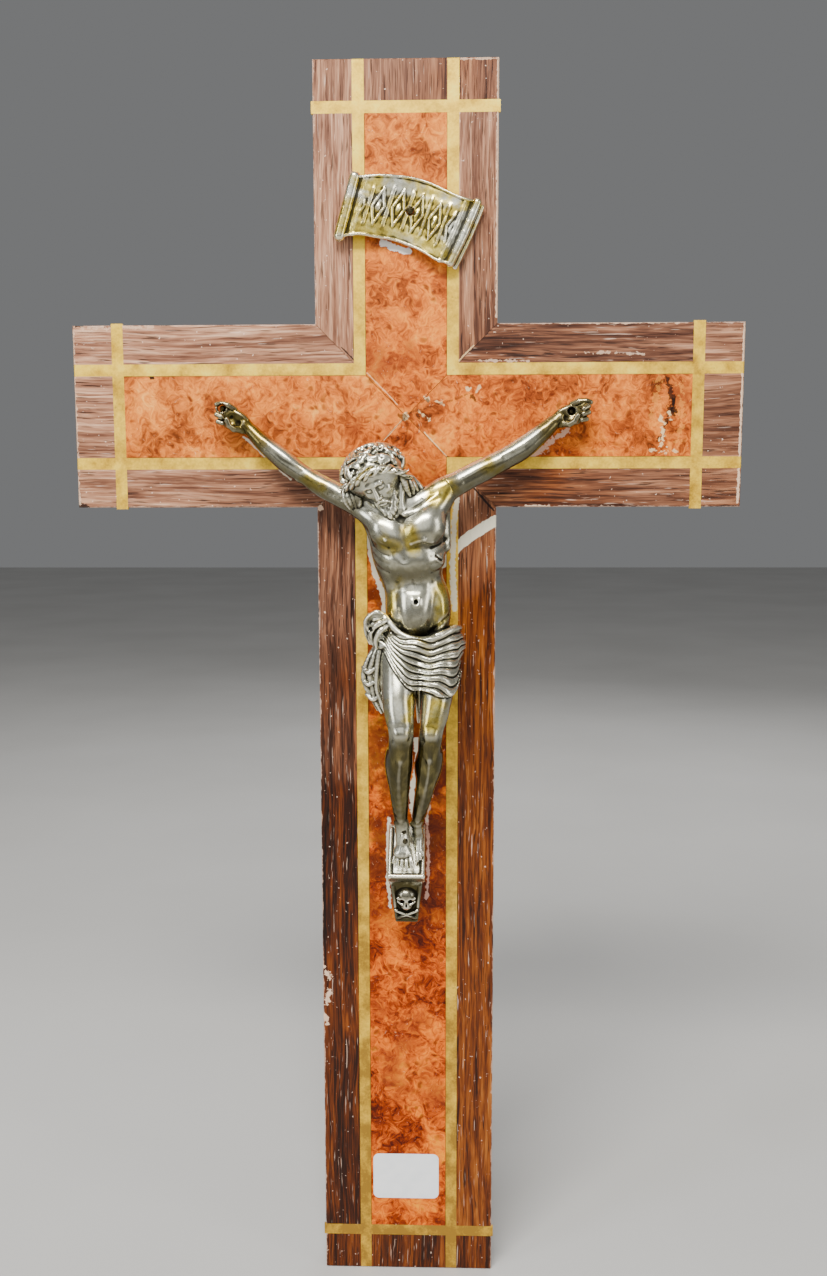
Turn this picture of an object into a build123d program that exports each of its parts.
from build123d import *
import math
import os

# A veneered altar and wall crucifix: a half-lapped pine core, rosewood borders, burl panels,
# brass stringing, a cast bronze corpus with its foot block and scroll, and a recessed hanger.
# Millimetres. X is across, Z is up, the front faces -Y. The origin is the middle of the
# bottom end face.

# ---- driving dimensions -----------------------------------------------------------------
beam_width = 86.0
lower_arm = 395.0          # bottom end to the underside of the crossbar
top_arm = 119.0            # top of the crossbar to the top end
side_arm = 116.0           # side of the upright to the end of the crossbar
core_depth = 16.0
veneer = 1.5               # face veneer and stringing
edge_veneer = 1.2          # veneer on the sides and the ends
border_width = 18.2        # rosewood border outside the stringing
string_width = 5.5         # brass stringing
end_margin = 18.5          # end of an arm to the stringing that crosses it
string_overhang = 0.8      # the wood has shrunk back from the ends of the crossing strings
mitre_gap = 0.12           # half of the open line along each mitre
arris = 0.5                # worn outer corner of the cross

# ---- sizes that follow ------------------------------------------------------------------
half_width = beam_width / 2
height = lower_arm + beam_width + top_arm
half_span = half_width + side_arm
centre_z = lower_arm + half_width
string_outer = half_width - border_width
string_inner = string_outer - string_width
back_y = (core_depth + veneer) / 2
front_y = -back_y
core_front_y = front_y + veneer
veneer_plane = Plane.XZ.offset(-core_front_y)

# The arms in the plane of the cross: unit vector outwards, unit vector to its left, length
# from the middle of the crossing to the end.
ARMS = {
    "top": ((0, 1), (-1, 0), height - centre_z),
    "bottom": ((0, -1), (1, 0), centre_z),
    "left": ((-1, 0), (0, -1), half_span),
    "right": ((1, 0), (0, 1), half_span),
}

# ---- fixings ----------------------------------------------------------------------------
pin_shank_r = 0.9
pin_hole_r = 0.95
pin_head_r = 1.5
pin_head_height = 0.9
pin_depth = 7.0            # how far each pin goes into the wood
hand_pins = [(-86.5, 7.0, 441.5), (77.5, 7.0, 439.5)]
foot_pins = [(-1.3, 19.5, 240.0), (-0.6, 20.5, 235.8)]
titulus_pin = (2.2, 5.0, 531.4)

# ---- hanger -----------------------------------------------------------------------------
recess_width = 34.0
recess_bottom_z = 522.0
recess_top_z = 572.0
recess_depth = 5.5
recess_corner_r = 4.0
strap_width = 10.0
strap_length = 24.0
strap_thickness = 1.2
knuckle_r = 2.2
ring_wire_r = 1.1
ring_clearance = 0.05
ring_r = 11.0
ring_corner_r = 2.5
hinge_z = 545.0
recess_floor_y = back_y - recess_depth
hinge_y = recess_floor_y + knuckle_r
screw_r = 1.2
screw_head_r = 2.3
screw_z = [hinge_z + 8.0, hinge_z + 18.0]
screw_length = 7.0

# ---- stock label ------------------------------------------------------------------------
label_width = 33.7
label_height = 24.4
label_thickness = 0.12
label_centre = (-1.2, 51.2)


def save(piece, name):
    """Label one sub-part and write its STEP file."""
    piece.part.label = name
    export_step(piece.part, f"parts/{name}.step")


def on_arm(arm, along, across):
    """A point in the plane of the cross, from the crossing's middle out along an arm."""
    out, left, _ = ARMS[arm]
    return (out[0] * along + left[0] * across, centre_z + out[1] * along + left[1] * across)


def pin_bores(points):
    """Where pins go through, in a sketch on the face of the cross."""
    return Locations(*[(x, z) for x, _, z in points])


def seat_pins(points):
    """Bore the part that is being built for its pins, and seat their heads."""
    for x, lift, z in points:
        with Locations(Location((x, front_y - lift, z), (90, 0, 0))):
            Cylinder(
                pin_hole_r,
                lift + 1,
                align=(Align.CENTER, Align.CENTER, Align.MAX),
                mode=Mode.SUBTRACT,
            )
            Cylinder(
                pin_head_r + 0.1,
                20,
                align=(Align.CENTER, Align.CENTER, Align.MIN),
                mode=Mode.SUBTRACT,
            )


def is_outer(edge):
    """Whether an edge of a flat piece runs along the outline of the cross."""
    middle = edge.center()
    across = abs(middle.X)
    up = abs(middle.Z - centre_z)
    on_side = math.isclose(across, half_width, abs_tol=0.01) and up > half_width
    on_bar = math.isclose(up, half_width, abs_tol=0.01) and across > half_width
    on_end = (
        math.isclose(across, half_span, abs_tol=0.01)
        or math.isclose(middle.Z, 0, abs_tol=0.01)
        or math.isclose(middle.Z, height, abs_tol=0.01)
    )
    return on_side or on_bar or on_end


def outline_edges(edges, face_y):
    """The edges in one plane that lie on the outline of the cross."""
    return edges.filter_by_position(Axis.Y, face_y - 0.01, face_y + 0.01).filter_by(is_outer)


def veneer_piece(name, outlines, pins=()):
    """One node of flat pieces in the veneer layer, with any pin holes through it."""
    with BuildPart() as piece:
        with BuildSketch(veneer_plane):
            for outline in outlines:
                Polygon(*outline, align=None)
            if pins:
                with pin_bores(pins):
                    Circle(pin_hole_r, mode=Mode.SUBTRACT)
        extrude(amount=veneer)
        worn = outline_edges(piece.edges(), front_y)
        if worn:
            chamfer(worn, length=arris)
    save(piece, name)


# ---- wooden core ------------------------------------------------------------------------
def make_cores():
    """The two half-lapped pine boards that everything is glued to."""
    core_half = half_width - edge_veneer
    core_back = Plane.XZ.offset(-back_y)
    half_lap = core_depth / 2

    with BuildPart() as upright:
        with BuildSketch(core_back):
            with Locations((0, height / 2)):
                Rectangle(2 * core_half, height - 2 * edge_veneer)
        extrude(amount=core_depth)
        with BuildSketch(veneer_plane):
            with Locations((0, centre_z)):
                Rectangle(2 * core_half, 2 * core_half)
        extrude(amount=-half_lap, mode=Mode.SUBTRACT)
        with BuildSketch(core_back):
            with Locations((0, (recess_bottom_z + recess_top_z) / 2)):
                RectangleRounded(recess_width, recess_top_z - recess_bottom_z, recess_corner_r)
        extrude(amount=recess_depth, mode=Mode.SUBTRACT)
        with BuildSketch(veneer_plane):
            with pin_bores(foot_pins + [titulus_pin]):
                Circle(pin_hole_r)
        extrude(amount=-pin_depth, mode=Mode.SUBTRACT)
        with BuildSketch(Plane.XZ.offset(-recess_floor_y)):
            with Locations(*[(0, z) for z in screw_z]):
                Circle(screw_r)
        extrude(amount=screw_length, mode=Mode.SUBTRACT)
    save(upright, "upright_core")

    with BuildPart() as crossbar:
        with BuildSketch(core_back):
            with Locations((0, centre_z)):
                Rectangle(2 * (half_span - edge_veneer), 2 * core_half)
        extrude(amount=core_depth)
        with BuildSketch(core_back):
            with Locations((0, centre_z)):
                Rectangle(2 * core_half, 2 * core_half)
        extrude(amount=half_lap, mode=Mode.SUBTRACT)
        with BuildSketch(veneer_plane):
            with pin_bores(hand_pins):
                Circle(pin_hole_r)
        extrude(amount=-pin_depth, mode=Mode.SUBTRACT)
    save(crossbar, "crossbar_core")


# ---- face veneer ------------------------------------------------------------------------
def make_burl_panels():
    """Four burl panels, mitred to a point at the middle of the crossing."""
    pins = {
        "top": [titulus_pin],
        "bottom": foot_pins,
        "left": hand_pins[:1],
        "right": hand_pins[1:],
    }
    tip = mitre_gap * math.sqrt(2)
    for arm, (_, _, length) in ARMS.items():
        end = length - end_margin - string_width
        outline = [
            on_arm(arm, tip, 0),
            on_arm(arm, string_inner, string_inner - tip),
            on_arm(arm, end, string_inner - tip),
            on_arm(arm, end, tip - string_inner),
            on_arm(arm, string_inner, tip - string_inner),
        ]
        veneer_piece(f"burl_panel_{arm}", [outline], pins[arm])


def make_borders():
    """Eight rosewood borders, mitred where the upright meets the crossbar."""
    for arm, (_, _, length) in ARMS.items():
        end = length - end_margin - string_width
        for side, sign in (("a", 1), ("b", -1)):
            outline = [
                on_arm(arm, end, sign * string_outer),
                on_arm(arm, end, sign * half_width),
                on_arm(arm, half_width + mitre_gap, sign * half_width),
                on_arm(arm, string_outer + mitre_gap, sign * string_outer),
            ]
            veneer_piece(f"border_{arm}_{side}", [outline])


def make_end_tiles():
    """Three rosewood tiles outside each crossing string."""
    for arm, (_, _, length) in ARMS.items():
        start = length - end_margin
        bands = [(-half_width, -string_outer), (-string_inner, string_inner), (string_outer, half_width)]
        outlines = [
            [
                on_arm(arm, start, low),
                on_arm(arm, length, low),
                on_arm(arm, length, high),
                on_arm(arm, start, high),
            ]
            for low, high in bands
        ]
        veneer_piece(f"end_tiles_{arm}", outlines)


# ---- brass stringing --------------------------------------------------------------------
def make_stringing():
    """Long strings beside the burl, the string that crosses each arm, and the stubs past it."""
    for arm, (_, _, length) in ARMS.items():
        cross_low = length - end_margin - string_width
        cross_high = length - end_margin
        reach = half_width + string_overhang
        for side, sign in (("a", 1), ("b", -1)):
            outline = [
                on_arm(arm, cross_low, sign * string_inner),
                on_arm(arm, cross_low, sign * string_outer),
                on_arm(arm, string_outer, sign * string_outer),
                on_arm(arm, string_inner, sign * string_inner),
            ]
            veneer_piece(f"string_{arm}_{side}", [outline])
        crossing = [
            on_arm(arm, cross_low, -reach),
            on_arm(arm, cross_high, -reach),
            on_arm(arm, cross_high, reach),
            on_arm(arm, cross_low, reach),
        ]
        veneer_piece(f"cross_string_{arm}", [crossing])
        stubs = [
            [
                on_arm(arm, cross_high, low),
                on_arm(arm, length, low),
                on_arm(arm, length, low + string_width),
                on_arm(arm, cross_high, low + string_width),
            ]
            for low in (-string_outer, string_inner)
        ]
        veneer_piece(f"string_stubs_{arm}", stubs)


# ---- edge veneer ------------------------------------------------------------------------
def make_edge_veneers():
    """Rosewood on the sides and ends of the core, behind the face veneer."""
    skin = half_width - edge_veneer
    seam = 0.05
    for arm, (_, _, length) in ARMS.items():
        with BuildPart() as end_cap:
            with BuildSketch(veneer_plane):
                Polygon(
                    on_arm(arm, length - edge_veneer, -half_width),
                    on_arm(arm, length, -half_width),
                    on_arm(arm, length, half_width),
                    on_arm(arm, length - edge_veneer, half_width),
                    align=None,
                )
            extrude(amount=-core_depth)
            chamfer(outline_edges(end_cap.edges(), back_y), length=arris)
        save(end_cap, f"edge_veneer_{arm}_end")

    corners = [("top", "left"), ("top", "right"), ("bottom", "left"), ("bottom", "right")]
    for upright_arm, side_arm_name in corners:
        up = 1 if upright_arm == "top" else -1
        across = 1 if side_arm_name == "right" else -1
        far_z = up * (ARMS[upright_arm][2] - edge_veneer)
        far_x = across * (half_span - edge_veneer)
        with BuildPart() as corner:
            with BuildSketch(veneer_plane):
                Polygon(
                    (across * skin, centre_z + far_z),
                    (across * half_width, centre_z + far_z),
                    (across * half_width, centre_z + up * skin),
                    (across * skin, centre_z + up * skin),
                    align=None,
                )
                Polygon(
                    (across * (half_width + seam), centre_z + up * skin),
                    (far_x, centre_z + up * skin),
                    (far_x, centre_z + up * half_width),
                    (across * (half_width + seam), centre_z + up * half_width),
                    align=None,
                )
            extrude(amount=-core_depth)
            chamfer(outline_edges(corner.edges(), back_y), length=arris)
        save(corner, f"edge_veneer_{upright_arm}_{side_arm_name}")


# ---- cast figure ------------------------------------------------------------------------
def point(x, lift, z):
    """A point at a height above the front face of the cross."""
    return Vector(x, front_y - lift, z)


def oval(x, lift, z, across, deep, heading=(0, 0, 1)):
    """An oval section of the figure: half its width and half its depth, square to heading."""
    with BuildSketch(Plane(origin=point(x, lift, z), x_dir=(1, 0, 0), z_dir=heading)) as section:
        Ellipse(across, deep)
    return section.sketch


def disc(place, heading, radius):
    """A round section of a limb, square to heading."""
    with BuildSketch(Plane(origin=place, z_dir=heading)) as section:
        Circle(radius)
    return section.sketch


def limb_sections(stations):
    """Round sections along a limb, each square to the way from the last joint to the next."""
    places = [point(*station[:3]) for station in stations]
    sections = []
    for index, station in enumerate(stations):
        before = places[max(index - 1, 0)]
        after = places[min(index + 1, len(places) - 1)]
        sections.append(disc(places[index], after - before, station[3]))
    return sections


# Joints of each limb: x, height above the face, z, radius.
LEFT_ARM = [
    (-19.0, 18.0, 395.5, 5.2),
    (-30.0, 16.5, 401.0, 4.8),
    (-41.5, 13.0, 407.0, 3.7),
    (-51.7, 10.0, 412.5, 3.6),
    (-60.0, 8.0, 419.0, 3.5),
    (-74.5, 4.5, 431.5, 2.6),
]
RIGHT_ARM = [
    (13.0, 18.0, 399.0, 5.2),
    (24.0, 16.5, 405.5, 4.8),
    (35.0, 13.0, 411.0, 3.9),
    (45.4, 10.0, 417.0, 3.7),
    (54.0, 8.0, 423.5, 3.5),
    (67.0, 4.5, 433.5, 2.6),
]
LEFT_LEG = [
    (-5.0, 18.0, 330.0, 9.0),
    (-3.0, 25.0, 312.0, 8.3),
    (-0.5, 34.0, 292.5, 6.0),
    (-2.8, 28.0, 272.0, 5.6),
    (-1.6, 17.5, 245.0, 3.6),
]
RIGHT_LEG = [
    (16.0, 16.0, 330.0, 9.0),
    (15.0, 22.0, 312.0, 8.0),
    (12.0, 31.0, 292.5, 5.8),
    (11.5, 25.0, 272.0, 4.8),
    (5.6, 14.5, 245.0, 3.2),
]


def make_arm(stations, palm, name, pin):
    """One arm, cast apart from the body and let into its shoulder, with its half-closed hand."""
    wrist = stations[-1]
    with BuildPart() as arm:
        loft(limb_sections(stations))
        loft([
            oval(wrist[0], 4.5, wrist[2], 2.6, 2.6, heading=(palm, 0, 0.7)),
            oval(wrist[0] + 6.5 * palm, 3.8, wrist[2] + 4.4, 5.4, 3.0, heading=(palm, 0, 0.7)),
            oval(wrist[0] + 14.5 * palm, 3.6, wrist[2] + 9.6, 4.6, 3.0, heading=(palm, 0, 0.7)),
        ])
        split(bisect_by=Plane.XZ.offset(-front_y), keep=Keep.TOP)
        seat_pins([pin])
    save(arm, name)
    return arm.part


def make_foot_block():
    """The sloping foot rest: a slab on a corbel, with a small skull on its front."""
    half_block = 9.0
    slab_back_z = 238.5
    slab_front_z = 217.5
    slab_reach = 21.5
    with BuildPart() as block:
        with BuildSketch(Plane.YZ.offset(-half_block)):
            Polygon(
                (front_y, slab_back_z),
                (front_y - 2.5, slab_back_z),
                (front_y - slab_reach, slab_front_z),
                (front_y - slab_reach + 1.0, slab_front_z - 2.6),
                (front_y - slab_reach + 3.6, slab_front_z - 3.2),
                (front_y - slab_reach + 7.6, 193.5),
                (front_y, 191.5),
                align=None,
            )
        extrude(amount=2 * half_block)
        with Locations((0, front_y - 15.2, 205.0)):
            Sphere(5.2)
        seat_pins(foot_pins)
    save(block, "foot_block")
    return block.part


def make_corpus(arms, block):
    """The body of the figure, with sockets for its arms and feet that stand on the block."""
    with BuildPart() as corpus:
        loft([
            oval(3.5, 16.0, 306.0, 15.5, 11.0),
            oval(6.0, 17.0, 322.0, 19.5, 13.0),
            oval(6.0, 17.0, 335.0, 19.0, 12.5),
            oval(5.0, 18.0, 350.0, 14.2, 10.5),
            oval(3.5, 20.0, 366.0, 15.5, 12.0),
            oval(1.0, 19.0, 382.0, 18.0, 12.0),
            oval(-2.5, 17.0, 397.0, 20.0, 9.0),
            oval(-4.0, 17.5, 403.0, 11.0, 6.5),
        ])
        loft([
            oval(-4.0, 18.0, 398.0, 6.5, 6.5),
            oval(-8.0, 23.0, 408.0, 6.0, 6.0, heading=(-0.3, -0.4, 1)),
        ])
        loft([
            oval(-6.0, 36.0, 391.0, 3.0, 2.5, heading=(-0.3, 0.2, 1)),
            oval(-9.0, 31.0, 398.0, 9.0, 9.5, heading=(-0.3, 0.2, 1)),
            oval(-12.0, 29.0, 408.0, 14.0, 14.0, heading=(-0.3, 0.2, 1)),
            oval(-15.0, 27.0, 418.0, 12.0, 12.0, heading=(-0.3, 0.2, 1)),
            oval(-16.5, 26.0, 424.0, 5.0, 5.0, heading=(-0.3, 0.2, 1)),
        ])
        loft([
            oval(-14.5, 15.0, 298.0, 4.5, 5.5),
            oval(-16.0, 15.0, 312.0, 5.0, 6.5),
            oval(-13.0, 17.0, 330.0, 4.0, 7.0),
            oval(-12.0, 18.0, 345.0, 5.0, 7.5),
        ])
        for leg in (LEFT_LEG, RIGHT_LEG):
            loft(limb_sections(leg))
        loft([
            oval(-1.5, 17.0, 247.0, 3.6, 3.6),
            oval(-1.3, 13.5, 239.0, 4.4, 6.8),
            oval(-1.0, 17.5, 231.0, 5.0, 5.0),
            oval(-0.5, 23.0, 222.5, 5.2, 2.4),
        ])
        loft([
            oval(5.2, 14.5, 247.0, 3.5, 3.5),
            oval(5.4, 11.5, 238.0, 3.6, 6.0),
            oval(5.2, 16.0, 230.0, 3.4, 4.0),
            oval(5.0, 20.0, 224.5, 2.6, 2.0),
        ])
        split(bisect_by=Plane.XZ.offset(-front_y), keep=Keep.TOP)
        for neighbour in (*arms, block):
            add(neighbour, mode=Mode.SUBTRACT)
        seat_pins(foot_pins)
    save(corpus, "corpus")


# ---- scroll -----------------------------------------------------------------------------
def make_titulus():
    """The waving scroll above the figure: a bent sheet cut to a slanting outline."""
    sheet = 1.3
    with BuildPart() as scroll:
        with BuildSketch(Plane.XY.offset(495)):
            with BuildLine():
                Spline(
                    (-33.0, front_y - 3.2),
                    (-24.0, front_y - 5.2),
                    (-8.0, front_y - 3.0),
                    (2.2, front_y - 2.2),
                    (14.0, front_y - 4.4),
                    (26.0, front_y - 5.4),
                    (36.0, front_y - 2.8),
                )
            trace(line_width=sheet)
        extrude(amount=65)
        with BuildSketch(Plane.XZ):
            with BuildLine():
                top = Spline((-22.6, 547.4), (2.0, 546.8), (18.0, 541.0), (33.8, 535.0))
                right = Line(top @ 1, (21.0, 506.3))
                bottom = Spline(right @ 1, (8.0, 512.0), (-6.0, 518.4), (-31.0, 518.4))
                Line(bottom @ 1, top @ 0)
            make_face()
        extrude(amount=30, mode=Mode.INTERSECT)
        seat_pins([titulus_pin])
    save(scroll, "titulus")


# ---- pins -------------------------------------------------------------------------------
def make_pins(places, name):
    """Round-headed bronze pins, one solid each, driven square into the face."""
    with BuildPart() as pins:
        for x, lift, z in places:
            with Locations(Location((x, front_y - lift, z), (90, 0, 0))):
                Cylinder(
                    pin_shank_r,
                    lift + veneer + pin_depth - 0.3,
                    align=(Align.CENTER, Align.CENTER, Align.MAX),
                )
                Cone(
                    pin_head_r,
                    pin_head_r * 0.45,
                    pin_head_height,
                    align=(Align.CENTER, Align.CENTER, Align.MIN),
                )
    save(pins, name)


# ---- hanger -----------------------------------------------------------------------------
def make_hanger():
    """A brass strap with a rolled knuckle, two screws, and the ring that swings in it."""
    strap_low = hinge_z
    strap_high = hinge_z + strap_length
    bore_r = ring_wire_r + ring_clearance
    with BuildPart() as strap:
        with BuildSketch(Plane.XZ.offset(-recess_floor_y)):
            with Locations((0, (strap_low + strap_high) / 2)):
                Rectangle(strap_width, strap_length)
        extrude(amount=-strap_thickness)
        with BuildSketch(Plane.YZ.offset(-strap_width / 2)):
            with Locations((hinge_y, hinge_z)):
                Circle(knuckle_r)
        extrude(amount=strap_width)
        with BuildSketch(Plane.YZ.offset(-strap_width / 2)):
            with Locations((hinge_y, hinge_z)):
                Circle(bore_r)
        extrude(amount=strap_width, mode=Mode.SUBTRACT)
        with BuildSketch(Plane.XZ.offset(-recess_floor_y)):
            with Locations(*[(0, z) for z in screw_z]):
                Circle(screw_r)
        extrude(amount=-strap_thickness, mode=Mode.SUBTRACT)
    save(strap, "hanger_strap")

    with BuildPart() as screws:
        head_y = recess_floor_y + strap_thickness
        with BuildSketch(Plane.XZ.offset(-head_y)):
            with Locations(*[(0, z) for z in screw_z]):
                Circle(screw_head_r)
        extrude(amount=-1.2, taper=30)
        with BuildSketch(Plane.XZ.offset(-head_y)):
            with Locations(*[(0, z) for z in screw_z]):
                Circle(screw_r)
        extrude(amount=strap_thickness + screw_length - 0.3)
        with BuildSketch(Plane.XZ.offset(-head_y - 0.6)):
            with Locations(*[(0, z) for z in screw_z]):
                Rectangle(2 * screw_head_r, 0.7)
        extrude(amount=-2, mode=Mode.SUBTRACT)
    save(screws, "hanger_screws")

    with BuildPart() as ring:
        with BuildLine(Plane.XZ.offset(-hinge_y)) as path:
            Line((-ring_r, hinge_z), (ring_r, hinge_z))
            ThreePointArc((ring_r, hinge_z), (0, hinge_z - ring_r), (-ring_r, hinge_z))
            fillet(path.vertices(), radius=ring_corner_r)
        with BuildSketch(Plane(origin=path.line @ 0, z_dir=path.line % 0)):
            Circle(ring_wire_r)
        sweep(path=path.line)
    save(ring, "hanger_ring")


# ---- label ------------------------------------------------------------------------------
def make_label():
    """A blank paper stock label on the lower burl panel."""
    with BuildPart() as label:
        with BuildSketch(Plane.XZ.offset(-front_y)):
            with Locations(label_centre):
                RectangleRounded(label_width, label_height, 3.0)
        extrude(amount=label_thickness)
    save(label, "stock_label")


os.makedirs("parts", exist_ok=True)
make_cores()
make_burl_panels()
make_borders()
make_end_tiles()
make_stringing()
make_edge_veneers()
left_arm = make_arm(LEFT_ARM, -1, "corpus_left_arm", hand_pins[0])
right_arm = make_arm(RIGHT_ARM, 1, "corpus_right_arm", hand_pins[1])
foot_block = make_foot_block()
make_corpus([left_arm, right_arm], foot_block)
make_titulus()
make_pins(hand_pins, "hand_pins")
make_pins(foot_pins, "foot_pins")
make_pins([titulus_pin], "titulus_pin")
make_hanger()
make_label()
